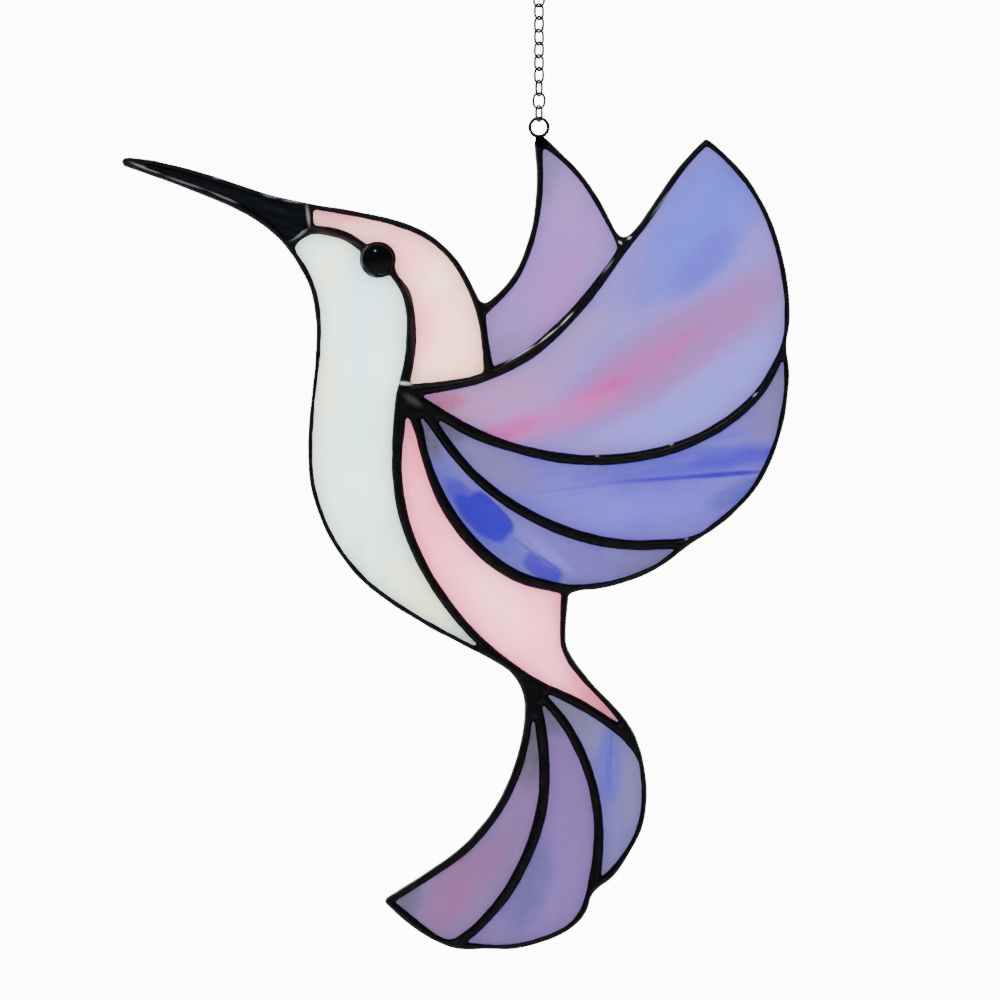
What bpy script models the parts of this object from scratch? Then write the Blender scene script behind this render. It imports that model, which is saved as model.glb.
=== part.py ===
"""A hanging hummingbird of streaky acrylic panes, soldered together like stained glass.

Eleven flat panes and a domed eye sit in grooves of one blackened solder frame. A small ring is
soldered to the tip of the rear wing, and a fine chain goes up from it to a hanging loop.

Metres, +Z up. The bird hangs in the XZ plane with its front towards -Y, and the origin is the point
that a hook carries: the inner top of the hanging loop.
"""

import math
from collections import namedtuple

import bmesh
import bpy
import numpy as np

# The bird is drawn on a grid of squares, x to the right and y down, and its height sets their size.
BIRD_HEIGHT = 0.211
PATTERN_TOP = 135.5
PATTERN_BOTTOM = 949
SQUARE = BIRD_HEIGHT / (PATTERN_BOTTOM - PATTERN_TOP)

# Solder: a seam joins two panes, a rim runs round the outside, and a bezel holds the eye.
SEAM_WIDTH = 0.00265
RIM_WIDTH = 0.00155
BEAD_HEIGHT = 0.0009
BEAD_ROUND = 0.0005
SEAM_WEB = 0.0006
RIM_WALL = 0.0005

# How far back from a corner of the solder its rounding starts, and how wide a pointed corner of an
# opening ends.
CORNER_FILLET = 0.0006
NECK_FILLET = 0.0028
WING_FILLET = 0.0042
BODY_FILLET = 0.003
BACK_FILLET = 0.0012
OPENING_POINT_WIDTH = 0.0003

# Panes, and how they sit.
PANE_THICKNESS = 0.003
PANE_NIP = 0.0008
PANE_POINT_WIDTH = 0.0012
FIT_GAP = 0.00025

# The eye is a turned gem with a thin girdle that the bezel traps.
EYE_DIAMETER = 0.0074
EYE_GIRDLE = 0.0012
EYE_LIP = 0.0003
EYE_DOME = 0.0019
EYE_BACK_DOME = 0.0005
BEZEL_WIDTH = 0.00135
BEZEL_WALL = 0.0003

# Hanging hardware. The links are named from the wing ring upwards, and each has its own turn in
# degrees about the vertical.
WING_RING_DIAMETER = 0.00565
WING_RING_WIRE = 0.0008
WING_RING_SEAT = 0.00075
LINK_INNER_LENGTH = 0.0035
LINK_INNER_WIDTH = 0.0025
LINK_WIRE = 0.0005
LINK_PLAY = 0.0002
LINK_TURNS = (60, -20, 60, -45, 45, -45, 45, -45, 45, -30, 70)
LOOP_INNER_DIAMETER = 0.010
LOOP_WIRE = 0.001

# Fineness: how far a straight run may stand off the true curve, and the steps round turned pieces.
OUTLINE_TOLERANCE = 0.0002
HIDDEN_TOLERANCE = 0.00022
SPAN_STEPS = 12
STRETCH = 0.006
BESIDE = 0.001
EASING = 0.0012
CORNER_STEPS = 4
CORNER_TURN = math.radians(25)
EYE_STEPS = 24
DOME_STEPS = 4
LOOP_STEPS = 28
WING_RING_STEPS = 20
RING_SIDES = 8
LINK_END_STEPS = 4
WELD = 1e-6
FLAT_ANGLE = math.radians(0.1)

HALF_PANE = PANE_THICKNESS / 2
HALF_FRAME = HALF_PANE + FIT_GAP + BEAD_HEIGHT
EYE_RADIUS = EYE_DIAMETER / 2
EYE_HOLE_RADIUS = EYE_RADIUS - EYE_LIP
BEZEL_RADIUS = EYE_HOLE_RADIUS + BEZEL_WIDTH / 2
BEAD_WIDTH = {"seam": SEAM_WIDTH, "rim": RIM_WIDTH, "bezel": BEZEL_WIDTH}
# From the middle of a bead to the edge of the pane beside it.
PANE_REACH = {
    "seam": SEAM_WEB / 2 + FIT_GAP,
    "rim": RIM_WALL + FIT_GAP - RIM_WIDTH / 2,
    "bezel": EYE_RADIUS + FIT_GAP + BEZEL_WALL + FIT_GAP - BEZEL_RADIUS,
}

# Heights, worked out downwards from the origin: loop, links, wing ring, tip of the rear wing.
LOOP_RADIUS = (LOOP_INNER_DIAMETER + LOOP_WIRE) / 2
LOOP_MIDDLE = -LOOP_INNER_DIAMETER / 2
LINK_END_RADIUS = (LINK_INNER_WIDTH + LINK_WIRE) / 2
LINK_REACH = (LINK_INNER_LENGTH + LINK_WIRE) / 2
LINK_PITCH = LINK_INNER_LENGTH - LINK_PLAY
TOP_LINK_MIDDLE = LOOP_MIDDLE - LOOP_RADIUS + (LOOP_WIRE + LINK_WIRE) / 2 + LINK_PLAY - LINK_REACH
LOW_LINK_MIDDLE = TOP_LINK_MIDDLE - (len(LINK_TURNS) - 1) * LINK_PITCH
WING_RING_RADIUS = (WING_RING_DIAMETER - WING_RING_WIRE) / 2
WING_RING_TOP = LOW_LINK_MIDDLE - LINK_REACH + (LINK_WIRE + WING_RING_WIRE) / 2 + LINK_PLAY
WING_RING_MIDDLE = WING_RING_TOP - WING_RING_RADIUS
TIP_HEIGHT = WING_RING_MIDDLE - WING_RING_RADIUS - WING_RING_SEAT

# The squares where lines of the drawing meet.
WING_TIP = (539, 139.5)
BEAK_TIP_TOP = (126, 161)
BEAK_TIP_BOTTOM = (126, 163.5)
FOREHEAD = (309, 206)
CHIN = (310, 230)
THROAT = (290, 246)
EYE = (378, 260)
EYE_FRONT_TURN = 220
EYE_BACK_TURN = 35
HUB = (402, 392)
NECK = (481, 314)
WING_NOTCH = (622, 250)
FEATHER_TIP = (706, 142)
UPPER_MEET = (784, 346)
LOWER_MEET = (692, 540)
BACK_MEET = (565, 589)
RUMP = (514, 669)
TAIL_ROOT = (628, 728)
TAIL_NOTCH = (590, 890)
TAIL_TIP = (388, 901)
TAIL_CORNER = (447, 943)


def place(square):
    """The spot in the XZ plane of a point of the drawing."""
    return ((square[0] - WING_TIP[0]) * SQUARE, (WING_TIP[1] - square[1]) * SQUARE + TIP_HEIGHT)


def round_eye(end_turn):
    """The middle of the bezel, from the front of the eye round to the back of it, in squares."""
    radius = BEZEL_RADIUS / SQUARE
    turns = np.radians(np.linspace(EYE_FRONT_TURN, end_turn, 2 * SPAN_STEPS))
    return [(EYE[0] + radius * math.cos(turn), EYE[1] + radius * math.sin(turn)) for turn in turns]


OVER_EYE = round_eye(EYE_BACK_TURN + 360)
UNDER_EYE = round_eye(EYE_BACK_TURN)

# A line of the drawing: its kind of bead, how wide the bead is along it as shares of its usual
# width, and the squares that its middle passes through.
Line = namedtuple("Line", "kind swell squares")
LINES = {
    "beak_top": Line("rim", (1.0,), (
        BEAK_TIP_TOP, (150, 163), (180, 170), (210, 178), (240, 188), (275, 199), FOREHEAD)),
    "beak_bottom": Line("rim", (1.0, 1.1, 1.2, 1.1), (
        BEAK_TIP_BOTTOM, (150, 172.5), (180, 183.5), (220, 198.5), (250, 213), (275, 231), THROAT)),
    "beak_base": Line("seam", (0.85,), (FOREHEAD, (310, 217), CHIN)),
    "chin": Line("seam", (0.8,), (CHIN, (301, 237), THROAT)),
    "crown_front": Line("seam", (0.9,), (CHIN, (330, 232), (348, 237.5), OVER_EYE[0])),
    "over_eye": Line("bezel", (1.0,), OVER_EYE),
    "under_eye": Line("bezel", (1.0,), UNDER_EYE),
    "crown_back": Line("seam", (0.8, 0.9, 1.05, 1.1), (
        OVER_EYE[-1], (406, 293), (411, 318), (411, 343), (408.5, 366), HUB)),
    "head": Line("rim", (1.1, 1.0, 1.1, 1.1, 1.45), (
        FOREHEAD, (345, 212.5), (381, 219.5), (405, 226.5), (427, 236.5), (446, 252), (461, 271),
        (472, 293), NECK)),
    "crown_wing": Line("seam", (0.88, 1.0), (NECK, (483, 334), (486, 355), (489, 375))),
    "wing_front": Line("seam", (1.35, 1.05, 0.9, 1.15, 1.05, 0.95, 0.9), (
        HUB, (429, 388.5), (454, 384.5), (478, 379.5), (500, 369.5), (525, 357), (550, 337), (577, 309.5),
        (600, 281.5), WING_NOTCH)),
    "wing_tip": Line("rim", (1.4, 1.3, 1.2, 1.0), (
        WING_NOTCH, (638.5, 230.5), (654, 209), (671.5, 182), (688, 161), FEATHER_TIP)),
    "rear_left": Line("rim", (1.3, 1.1, 1.1, 1.4), (
        WING_TIP, (539.5, 188), (533, 234.5), (515, 278.5), NECK)),
    "rear_right": Line("rim", (1.3, 1.0, 1.0, 1.0), (WING_TIP, (575, 171), (601, 208.5), WING_NOTCH)),
    "upper_outer": Line("rim", (0.95,), (
        FEATHER_TIP, (743.5, 178), (769, 222.5), (783, 272.5), (787, 311), UPPER_MEET)),
    "upper_middle": Line("seam", (1.3, 1.2, 0.95, 1.05, 1.05, 1.05, 1.0, 0.9, 0.85), (
        (408, 397), (430, 407.5), (453, 421.5), (477, 434.5), (526, 451), (576, 459.5), (627, 458),
        (677, 447), (723, 424.5), (761, 390), UPPER_MEET)),
    "middle_outer": Line("rim", (0.85, 0.85, 0.9, 1.0), (
        UPPER_MEET, (786.5, 375), (784, 404), (773.5, 448), (750, 492.5), (713, 526.5), LOWER_MEET)),
    "middle_lower": Line("seam", (1.2, 0.95, 1.0, 1.1, 1.05, 1.05), (
        (408, 400), (422, 410), (431, 420), (443, 438.5), (477, 478), (519, 509), (565, 531), (615, 543.5),
        (667, 544), LOWER_MEET)),
    "lower_outer": Line("rim", (0.9, 0.9, 1.0, 1.5), (LOWER_MEET, (653, 568), (608, 584), BACK_MEET)),
    "lower_back": Line("seam", (1.1, 0.85, 1.05, 1.2, 1.2, 0.95), (
        (407, 402), (418, 427), (424, 452.5), (443, 501), (474, 544), (516, 575.5), BACK_MEET)),
    "breast_back": Line("seam", (1.1, 1.05, 0.95, 0.9, 0.9), (
        HUB, (401, 416), (397, 465), (403, 513.5), (420, 559.5), (445.5, 601), (477, 638), RUMP)),
    "breast_outer": Line("rim", (1.1, 0.9, 0.8, 0.85, 0.85, 0.9, 1.0), (
        THROAT, (304, 269), (314, 291.5), (319, 328), (316.5, 366), (312, 416), (310.5, 458), (314.5, 492),
        (333, 539), (364, 579), (404, 609), (447.5, 634), (492, 658), RUMP)),
    "back_outer": Line("rim", (1.2, 1.0, 1.2, 0.9, 1.0), (
        BACK_MEET, (564.5, 605), (563.5, 622), (564, 647), (577, 669.5), (612, 708.5), TAIL_ROOT)),
    "rump": Line("seam", (0.95, 0.95, 0.95, 1.2), (
        RUMP, (532, 681), (577, 702.5), (618, 729), (634, 744), (642, 756))),
    "tail_left": Line("rim", (1.2, 1.4, 1.5, 1.5, 1.4, 1.2), (
        RUMP, (525.5, 690), (528.5, 715), (519, 764), (499, 808), (468, 846), (429, 875), TAIL_TIP)),
    "tail_seam_left": Line("seam", (1.1, 1.1, 1.1, 1.0, 0.85), (
        (518, 672), (527, 682.5), (533.5, 697), (538.5, 715), (544, 758.5), (542, 806.5), (528, 852.5),
        (505, 895), (472.5, 931), (452, 944))),
    "tail_seam_right": Line("seam", (0.95, 0.95, 0.9, 1.0, 1.1), (
        (533, 686), (566, 725.5), (588, 770.5), (598, 819), (596, 868.5), TAIL_NOTCH)),
    "tail_right": Line("rim", (1.0, 0.95, 0.95, 1.45), (
        TAIL_ROOT, (639, 754.5), (644, 793), (638, 830.5), (610.5, 873.5), TAIL_NOTCH)),
    "tail_end": Line("rim", (1.3, 0.95, 0.85, 0.85, 1.0), (
        TAIL_NOTCH, (581.5, 913), (564, 929.5), (519, 945), (471, 945.5), TAIL_CORNER)),
    "tail_end_left": Line("rim", (1.0,), (TAIL_TIP, (408.5, 914.5), (428, 929), TAIL_CORNER)),
}

# Each pane's edge is a loop of lines, walked clockwise as seen from the front. A minus walks a line
# from its end to its start.
PANES = {
    "beak_pane": ("beak_top", "beak_base", "chin", "-beak_bottom"),
    "breast_pane": ("-chin", "crown_front", "under_eye", "crown_back", "breast_back", "-breast_outer"),
    "crown_pane": (
        "head", "crown_wing", "-wing_front", "-crown_back", "-over_eye", "-crown_front", "-beak_base"),
    "rear_wing_pane": ("rear_right", "-wing_front", "-crown_wing", "-rear_left"),
    "upper_feather_pane": ("wing_front", "wing_tip", "upper_outer", "-upper_middle"),
    "middle_feather_pane": ("upper_middle", "middle_outer", "-middle_lower"),
    "lower_feather_pane": ("middle_lower", "lower_outer", "-lower_back"),
    "back_pane": ("lower_back", "back_outer", "-rump", "-breast_back"),
    "tail_left_pane": ("tail_seam_left", "-tail_end_left", "-tail_left"),
    "tail_middle_pane": ("tail_seam_right", "tail_end", "-tail_seam_left"),
    "tail_right_pane": ("rump", "tail_right", "-tail_seam_right"),
}
# The outside edge, walked clockwise, and the inner corners of it that are filled with solder.
SILHOUETTE = (
    "beak_top", "head", "-rear_left", "rear_right", "wing_tip", "upper_outer", "middle_outer",
    "lower_outer", "back_outer", "tail_right", "tail_end", "-tail_end_left", "-tail_left",
    "-breast_outer", "-beak_bottom")
OUTER_FILLETS = {
    "head": NECK_FILLET,
    "rear_right": WING_FILLET,
    "lower_outer": BACK_FILLET,
    "-tail_left": BODY_FILLET,
    "-breast_outer": BODY_FILLET,
}


def smooth(points):
    """A centripetal Catmull-Rom curve through the points, with SPAN_STEPS steps from each to the next."""
    known = np.array(points, float)
    known = np.vstack([2 * known[0] - known[1], known, 2 * known[-1] - known[-2]])
    curve = [known[1]]
    for first in range(len(known) - 3):
        a, b, c, d = known[first:first + 4]
        at_b = math.sqrt(np.linalg.norm(b - a))
        at_c = at_b + math.sqrt(np.linalg.norm(c - b))
        at_d = at_c + math.sqrt(np.linalg.norm(d - c))
        for step in range(1, SPAN_STEPS + 1):
            at = at_b + (at_c - at_b) * step / SPAN_STEPS
            ab = (a * (at_b - at) + b * at) / at_b
            bc = (b * (at_c - at) + c * (at - at_b)) / (at_c - at_b)
            cd = (c * (at_d - at) + d * (at - at_c)) / (at_d - at_c)
            abc = (ab * (at_c - at) + bc * at) / at_c
            bcd = (bc * (at_d - at) + cd * (at - at_b)) / (at_d - at_b)
            curve.append((abc * (at_c - at) + bcd * (at - at_b)) / (at_c - at_b))
    return np.array(curve)


def bead(step):
    """Middle points of a step's line, half its bead's width at each, and its kind, in walking order."""
    line = LINES[step.lstrip("-")]
    spots = [place(square) for square in line.squares]
    middle = np.array(spots) if line.kind == "bezel" else smooth(spots)
    lengths = np.concatenate([[0], np.cumsum(np.linalg.norm(np.diff(middle, axis=0), axis=1))])
    stations = np.linspace(0, lengths[-1], len(line.swell))
    half = np.interp(lengths, stations, line.swell) * BEAD_WIDTH[line.kind] / 2
    if step.startswith("-"):
        return middle[::-1], half[::-1], line.kind
    return middle, half, line.kind


def moved_right(middle, reach):
    """The line moved by reach to the right of its walking direction, as seen from the front."""
    along = np.gradient(middle, axis=0)
    along /= np.linalg.norm(along, axis=1)[:, None]
    return middle + np.stack([along[:, 1], -along[:, 0]], axis=1) * reach[:, None]


def straight_on(run):
    """The points of a straight piece that carries on from the end of a run."""
    shares = np.linspace(0, 1, SPAN_STEPS + 1)[1:, None]
    ahead = run[-1] - run[-2]
    return run[-1] + ahead / np.linalg.norm(ahead) * STRETCH * shares


def crossing(first, second, near):
    """Where two runs of points cross, nearest to a point: the indexes before it on each, and the spot."""
    best = None
    starts = second[:-1]
    sides = np.diff(second, axis=0)
    for i in range(len(first) - 1):
        side = first[i + 1] - first[i]
        offset = starts - first[i]
        area = side[0] * sides[:, 1] - side[1] * sides[:, 0]
        area = np.where(area == 0, 1e-18, area)
        on_first = (offset[:, 0] * sides[:, 1] - offset[:, 1] * sides[:, 0]) / area
        on_second = (offset[:, 0] * side[1] - offset[:, 1] * side[0]) / area
        inside = (on_first >= 0) & (on_first <= 1) & (on_second >= 0) & (on_second <= 1)
        for j in np.nonzero(inside)[0]:
            spot = first[i] + side * on_first[j]
            distance = np.linalg.norm(spot - near)
            if best is None or distance < best[0]:
                best = (distance, i, j, spot)
    return best[1:] if best else None


def far_from_joining(arriving, leaving, near):
    """Whether two runs neither cross nor end beside each other."""
    return crossing(arriving, leaving, near) is None and np.linalg.norm(arriving[-1] - leaving[0]) > BESIDE


def meeting_point(first, second):
    """Where two neighbouring middle lines meet: the end of one of them that lies on the other."""
    end_off = np.linalg.norm(second - first[-1], axis=1).min()
    start_off = np.linalg.norm(first - second[0], axis=1).min()
    return first[-1] if end_off <= start_off else second[0]


def cut_back(run, spot, distance):
    """The run without its last stretch, which lies within the distance of the spot."""
    off = np.linalg.norm(run - spot, axis=1)
    kept = len(run)
    while kept > 1 and off[kept - 1] < distance:
        kept -= 1
    if kept == len(run) or off[kept - 1] < distance:
        return run[:kept]
    share = (off[kept - 1] - distance) / (off[kept - 1] - off[kept])
    return np.vstack([run[:kept], run[kept - 1] + (run[kept] - run[kept - 1]) * share])


def blunted(arriving, leaving, width):
    """Two runs that close in on each other, cut where they are still the width apart."""
    nearest = 0
    while len(arriving) > 2:
        off = np.linalg.norm(leaving - arriving[-1], axis=1)
        nearest = int(np.argmin(off))
        if off[nearest] >= width:
            break
        arriving = arriving[:-1]
    return arriving, leaving[nearest:]


def bent(start, corner, end):
    """The points between start and end of the smooth bend that the corner pulls."""
    shares = np.linspace(0, 1, CORNER_STEPS + 1)[1:-1]
    return [start * (1 - t) ** 2 + corner * 2 * t * (1 - t) + end * t ** 2 for t in shares]


def arc_round(middle, start, end):
    """The points between start and end of the arc round the middle."""
    from_middle = start - middle
    to_end = end - middle
    start_radius = np.linalg.norm(from_middle)
    end_radius = np.linalg.norm(to_end)
    turn = math.atan2(to_end[1], to_end[0]) - math.atan2(from_middle[1], from_middle[0])
    turn = (turn + math.pi) % (2 * math.pi) - math.pi
    count = max(1, math.ceil(abs(turn) / CORNER_TURN))
    points = []
    for step in range(1, count):
        angle = math.atan2(from_middle[1], from_middle[0]) + turn * step / count
        radius = start_radius + (end_radius - start_radius) * step / count
        points.append(middle + radius * np.array([math.cos(angle), math.sin(angle)]))
    return points


def closed_outline(walk, reach_of, fillet, point_width=0, fillets=None, arcs=False):
    """The ring beside a walk of lines: each moved right, cut where it meets the next, and rounded.

    With a point_width, a pointed corner ends blunt, about that wide.
    """
    beads = [bead(step) for step in walk]
    runs = [moved_right(middle, reach_of(half, kind)) for middle, half, kind in beads]
    count = len(walk)
    meets = [meeting_point(beads[k][0], beads[(k + 1) % count][0]) for k in range(count)]
    for k in range(count):
        following = (k + 1) % count
        if point_width and far_from_joining(runs[k], runs[following], meets[k]):
            runs[k] = np.vstack([runs[k], straight_on(runs[k])])
            runs[following] = np.vstack([straight_on(runs[following][::-1])[::-1], runs[following]])
    crossings = [crossing(runs[k], runs[(k + 1) % count], meets[k]) for k in range(count)]
    trimmed = []
    for k in range(count):
        before = crossings[k - 1]
        after = crossings[k]
        first = before[1] + 1 if before else 0
        last = after[0] + 1 if after else len(runs[k])
        trimmed.append(runs[k][first:last])
    joins = []
    for k in range(count):
        following = (k + 1) % count
        if crossings[k] is None and arcs:
            joins.append(arc_round(meets[k], trimmed[k][-1], trimmed[following][0]))
            continue
        corner = crossings[k][2] if crossings[k] else (trimmed[k][-1] + trimmed[following][0]) / 2
        back = (fillets or {}).get(walk[k], fillet if crossings[k] else EASING)
        arriving = cut_back(trimmed[k], corner, back)
        leaving = cut_back(trimmed[following][::-1], corner, back)[::-1]
        if point_width:
            arriving, leaving = blunted(arriving, leaving, point_width)
        trimmed[k] = arriving
        trimmed[following] = leaving
        pointed = np.linalg.norm(arriving[-1] - leaving[0]) < 1.2 * point_width
        if pointed or crossings[k] is None:
            joins.append([])
        else:
            joins.append(bent(arriving[-1], corner, leaving[0]))
    ring = []
    for k in range(count):
        ring.extend(trimmed[k])
        ring.extend(joins[k])
    return np.array(ring)


def thinned(ring, tolerance):
    """The ring with only the points that it needs to stay within the tolerance of its curve."""
    apart = np.linalg.norm(ring - np.roll(ring, 1, axis=0), axis=1) > WELD
    ring = ring[apart]
    far = int(np.argmax(np.linalg.norm(ring - ring[0], axis=1)))
    closed = np.vstack([ring, ring[:1]])
    kept = {0, far}
    spans = [(0, far), (far, len(ring))]
    while spans:
        first, last = spans.pop()
        if last - first < 2:
            continue
        chord = closed[last] - closed[first]
        offset = closed[first + 1:last] - closed[first]
        off = np.abs(chord[0] * offset[:, 1] - chord[1] * offset[:, 0]) / np.linalg.norm(chord)
        widest = int(np.argmax(off))
        if off[widest] > tolerance:
            middle = first + 1 + widest
            kept.add(middle)
            spans += [(first, middle), (middle, last)]
    return ring[sorted(kept)]


def grown(ring, gap):
    """A clockwise ring moved outwards by the gap on every side."""
    before = ring - np.roll(ring, 1, axis=0)
    after = np.roll(ring, -1, axis=0) - ring
    before /= np.linalg.norm(before, axis=1)[:, None]
    after /= np.linalg.norm(after, axis=1)[:, None]
    out_before = np.stack([-before[:, 1], before[:, 0]], axis=1)
    out_after = np.stack([-after[:, 1], after[:, 0]], axis=1)
    outward = out_before + out_after
    return ring + outward * (2 * gap / np.sum(outward * outward, axis=1))[:, None]


def bead_edge(half, kind):
    return half


def bead_outside(half, kind):
    return -half


def pane_edge(half, kind):
    return np.full(len(half), PANE_REACH[kind])


def pane_ring(name):
    ring = closed_outline(PANES[name], pane_edge, PANE_NIP, point_width=PANE_POINT_WIDTH)
    return thinned(ring, HIDDEN_TOLERANCE)


def opening_ring(name):
    ring = closed_outline(PANES[name], bead_edge, CORNER_FILLET, point_width=OPENING_POINT_WIDTH)
    return thinned(ring, OUTLINE_TOLERANCE)


def silhouette_ring():
    ring = closed_outline(SILHOUETTE, bead_outside, CORNER_FILLET, fillets=OUTER_FILLETS, arcs=True)
    return thinned(ring, OUTLINE_TOLERANCE)


def circle_ring(radius):
    """A ring round the middle of the eye."""
    turns = np.linspace(0, 2 * math.pi, EYE_STEPS, endpoint=False)
    return np.array(place(EYE)) + radius * np.stack([np.cos(turns), -np.sin(turns)], axis=1)


# Blender objects
def clear_scene():
    for item in list(bpy.data.objects):
        bpy.data.objects.remove(item, do_unlink=True)


def collection(name):
    group = bpy.data.collections.new(name)
    bpy.context.scene.collection.children.link(group)
    return group


def finish(item, colour, metallic, roughness):
    """A plain finish of its own for one object."""
    look = bpy.data.materials.new(item.name)
    look.use_nodes = True
    shader = look.node_tree.nodes["Principled BSDF"]
    shader.inputs["Base Color"].default_value = (*colour, 1.0)
    shader.inputs["Metallic"].default_value = metallic
    shader.inputs["Roughness"].default_value = roughness
    item.data.materials.append(look)


def flat_shape(name, rings, half_thickness, group, rounding=0.0):
    """Rings of XZ points as one flat 2D curve, filled, and rounded at its edges where they say so."""
    data = bpy.data.curves.new(name, "CURVE")
    data.dimensions = "2D"
    data.fill_mode = "BOTH"
    data.render_resolution_u = 0
    data.extrude = half_thickness - rounding
    data.bevel_depth = rounding
    data.bevel_resolution = 0
    data.offset = -rounding
    for ring in rings:
        spline = data.splines.new("POLY")
        spline.points.add(len(ring) - 1)
        spline.use_cyclic_u = True
        for point, (x, z) in zip(spline.points, ring):
            point.co = (x, z, 0.0, 1.0)
    item = bpy.data.objects.new(name, data)
    item.rotation_euler = (math.pi / 2, 0.0, 0.0)
    group.objects.link(item)
    return item


def as_mesh(item):
    """The curve object made a mesh object of the same name, with its loose caps welded on.

    Each flat side becomes one face where it can.
    """
    bpy.context.view_layer.update()
    evaluated = item.evaluated_get(bpy.context.evaluated_depsgraph_get())
    data = bpy.data.meshes.new_from_object(evaluated)
    solid = bmesh.new()
    solid.from_mesh(data)
    bmesh.ops.remove_doubles(solid, verts=solid.verts, dist=WELD)
    bmesh.ops.dissolve_limit(solid, angle_limit=FLAT_ANGLE, verts=solid.verts, edges=solid.edges)
    solid.to_mesh(data)
    solid.free()
    name = item.name
    group = item.users_collection[0]
    matrix = item.matrix_world.copy()
    bpy.data.objects.remove(item, do_unlink=True)
    piece = bpy.data.objects.new(name, data)
    piece.matrix_world = matrix
    group.objects.link(piece)
    return piece


def as_cutter(item):
    item.hide_render = True
    item.display_type = "WIRE"
    return item


def turned(name, profile, steps, group):
    """A profile of (radius, height) points turned about its own Z axis."""
    data = bpy.data.meshes.new(name)
    shape = bmesh.new()
    spots = [shape.verts.new((radius, 0.0, height)) for radius, height in profile]
    for upper, lower in zip(spots, spots[1:]):
        shape.edges.new((upper, lower))
    shape.to_mesh(data)
    shape.free()
    item = bpy.data.objects.new(name, data)
    screw = item.modifiers.new("Turn", "SCREW")
    screw.axis = "Z"
    screw.steps = steps
    screw.render_steps = steps
    screw.use_merge_vertices = True
    screw.merge_threshold = WELD
    group.objects.link(item)
    return item


def torus(name, radius, wire_radius, steps, group):
    """A ring of round wire that stands in the XZ plane."""
    bpy.ops.mesh.primitive_torus_add(
        major_radius=radius, minor_radius=wire_radius, major_segments=steps, minor_segments=RING_SIDES,
        rotation=(math.pi / 2, 0.0, 0.0))
    item = bpy.context.object
    item.name = name
    item.data.name = name
    for other in item.users_collection:
        other.objects.unlink(item)
    group.objects.link(item)
    return item


def solder_frame(group, cutters):
    """The silhouette with an opening for each pane and the eye, and a groove round each opening."""
    openings = [opening_ring(name) for name in PANES]
    eye_hole = circle_ring(EYE_HOLE_RADIUS)
    frame = flat_shape(
        "solder_frame", [silhouette_ring(), *openings, eye_hole], HALF_FRAME, group, rounding=BEAD_ROUND)
    frame = as_mesh(frame)
    for name in PANES:
        ring = grown(pane_ring(name), FIT_GAP)
        groove = flat_shape(f"{name}_groove", [ring], HALF_PANE + FIT_GAP, cutters)
        as_cutter(as_mesh(groove))
    bpy.ops.mesh.primitive_cylinder_add(
        vertices=EYE_STEPS, radius=EYE_RADIUS + FIT_GAP, depth=EYE_GIRDLE + 2 * FIT_GAP,
        location=eye_spot(), rotation=(math.pi / 2, 0.0, 0.0))
    groove = bpy.context.object
    groove.name = "eye_groove"
    for other in groove.users_collection:
        other.objects.unlink(groove)
    cutters.objects.link(as_cutter(groove))
    notch_wire = WING_RING_WIRE / 2 + FIT_GAP
    notch = torus("wing_ring_notch", WING_RING_RADIUS, notch_wire, WING_RING_STEPS, cutters)
    notch.location = (0.0, 0.0, WING_RING_MIDDLE)
    as_cutter(notch)
    cut = frame.modifiers.new("Grooves", "BOOLEAN")
    cut.operation = "DIFFERENCE"
    cut.operand_type = "COLLECTION"
    cut.collection = cutters
    finish(frame, (0.012, 0.012, 0.014), 0.8, 0.4)


def eye_spot():
    x, z = place(EYE)
    return (x, 0.0, z)


def eye_gem(group):
    """The eye: a high dome in front, a girdle in the bezel's groove, and a low dome behind."""
    radius = EYE_HOLE_RADIUS - FIT_GAP
    spring = HALF_PANE + FIT_GAP + BEAD_HEIGHT / 2
    turns = np.linspace(0, math.pi / 2, DOME_STEPS + 1)
    front = [(radius * math.sin(turn), spring + EYE_DOME * math.cos(turn)) for turn in turns]
    back = [(radius * math.sin(turn), -spring - EYE_BACK_DOME * math.cos(turn)) for turn in turns[::-1]]
    girdle = [
        (radius, EYE_GIRDLE / 2),
        (EYE_RADIUS, EYE_GIRDLE / 2),
        (EYE_RADIUS, -EYE_GIRDLE / 2),
        (radius, -EYE_GIRDLE / 2),
    ]
    eye = turned("eye_gem", front + girdle + back, EYE_STEPS, group)
    eye.location = eye_spot()
    eye.rotation_euler = (math.pi / 2, 0.0, 0.0)
    finish(eye, (0.004, 0.004, 0.006), 0.0, 0.08)


def chain_link(name, turn, height, group):
    """A long link of round wire that stands upright, turned about the vertical."""
    data = bpy.data.curves.new(name, "CURVE")
    data.dimensions = "3D"
    data.bevel_depth = LINK_WIRE / 2
    data.bevel_resolution = 1
    data.render_resolution_u = 0
    straight = LINK_REACH - LINK_END_RADIUS
    spline = data.splines.new("POLY")
    spline.points.add(2 * LINK_END_STEPS + 1)
    spline.use_cyclic_u = True
    for index, point in enumerate(spline.points):
        at_top = index <= LINK_END_STEPS
        step = index if at_top else index - 1
        angle = math.pi * step / LINK_END_STEPS
        middle = straight if at_top else -straight
        x = LINK_END_RADIUS * math.cos(angle)
        z = LINK_END_RADIUS * math.sin(angle) + middle
        point.co = (x, 0.0, z, 1.0)
    item = bpy.data.objects.new(name, data)
    item.location = (0.0, 0.0, height)
    item.rotation_euler = (0.0, 0.0, math.radians(turn))
    group.objects.link(item)
    finish(item, (0.05, 0.05, 0.052), 0.9, 0.35)


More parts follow.
